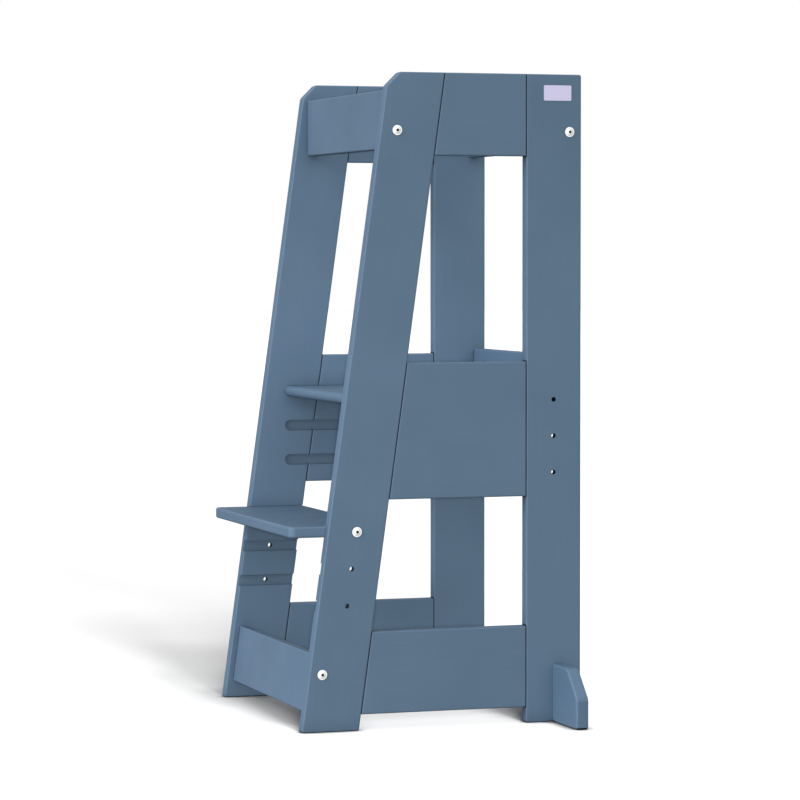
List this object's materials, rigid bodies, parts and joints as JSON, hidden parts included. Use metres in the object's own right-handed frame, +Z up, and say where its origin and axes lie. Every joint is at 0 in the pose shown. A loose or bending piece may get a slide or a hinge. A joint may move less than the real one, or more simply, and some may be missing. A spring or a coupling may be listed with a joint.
{
  "type": "toddler kitchen helper stool",
  "caption": "Open wooden tower that lifts a toddler to counter height: two leaning side frames, crossbars, a splayed foot bar, a bolted step and a platform that slides in grooves.",
  "frame": {"origin": "on the floor, under the middle of the tower's box", "axes": "+X to the side that carries the blank plate, +Y from the climbing side to the counter side, +Z up"},
  "size_m": [0.586, 0.4184, 0.89],
  "materials": {
    "painted_beech": "satin grey-blue paint over beech, with faint grain and eased edges",
    "dowel_beech": "bare fluted beech",
    "zinc_steel": "zinc-plated steel",
    "plate_plastic": "blank pale satin plate"
  },
  "bodies": {
    "frame": {"right_climbing_post": "painted_beech", "right_upright_post": "painted_beech", "right_top_rail": "painted_beech", "right_middle_panel": "painted_beech", "right_bottom_rail": "painted_beech", "right_side_dowels": "dowel_beech", "left_climbing_post": "painted_beech", "left_upright_post": "painted_beech", "left_top_rail": "painted_beech", "left_middle_panel": "painted_beech", "left_bottom_rail": "painted_beech", "left_side_dowels": "dowel_beech", "front_top_crossbar": "painted_beech", "front_low_crossbar": "painted_beech", "back_top_crossbar": "painted_beech", "crossbar_bolts": "zinc_steel", "crossbar_barrel_nuts": "zinc_steel", "crossbar_dowels": "dowel_beech", "foot_bar": "painted_beech", "foot_bar_bolts": "zinc_steel", "foot_bar_barrel_nuts": "zinc_steel", "lower_step": "painted_beech", "step_barrel_nuts": "zinc_steel", "label_plate": "plate_plastic"},
    "platform_tray": {"platform": "painted_beech", "toe_board": "painted_beech", "toe_board_screws": "zinc_steel", "platform_barrel_nuts": "zinc_steel"},
    "right_step_bolt": {"right_step_bolt": "zinc_steel"},
    "left_step_bolt": {"left_step_bolt": "zinc_steel"}
  },
  "joints": [
    {"name": "platform_slide", "type": "slide", "parent": "frame", "child": "platform_tray", "axis": [0, 1, 0], "range_m": [0, 0.3]},
    {"name": "right_step_bolt_draw", "type": "slide", "parent": "frame", "child": "right_step_bolt", "axis": [1, 0, 0], "range_m": [0, 0.055]},
    {"name": "left_step_bolt_draw", "type": "slide", "parent": "frame", "child": "left_step_bolt", "axis": [-1, 0, 0], "range_m": [0, 0.055]}
  ]
}
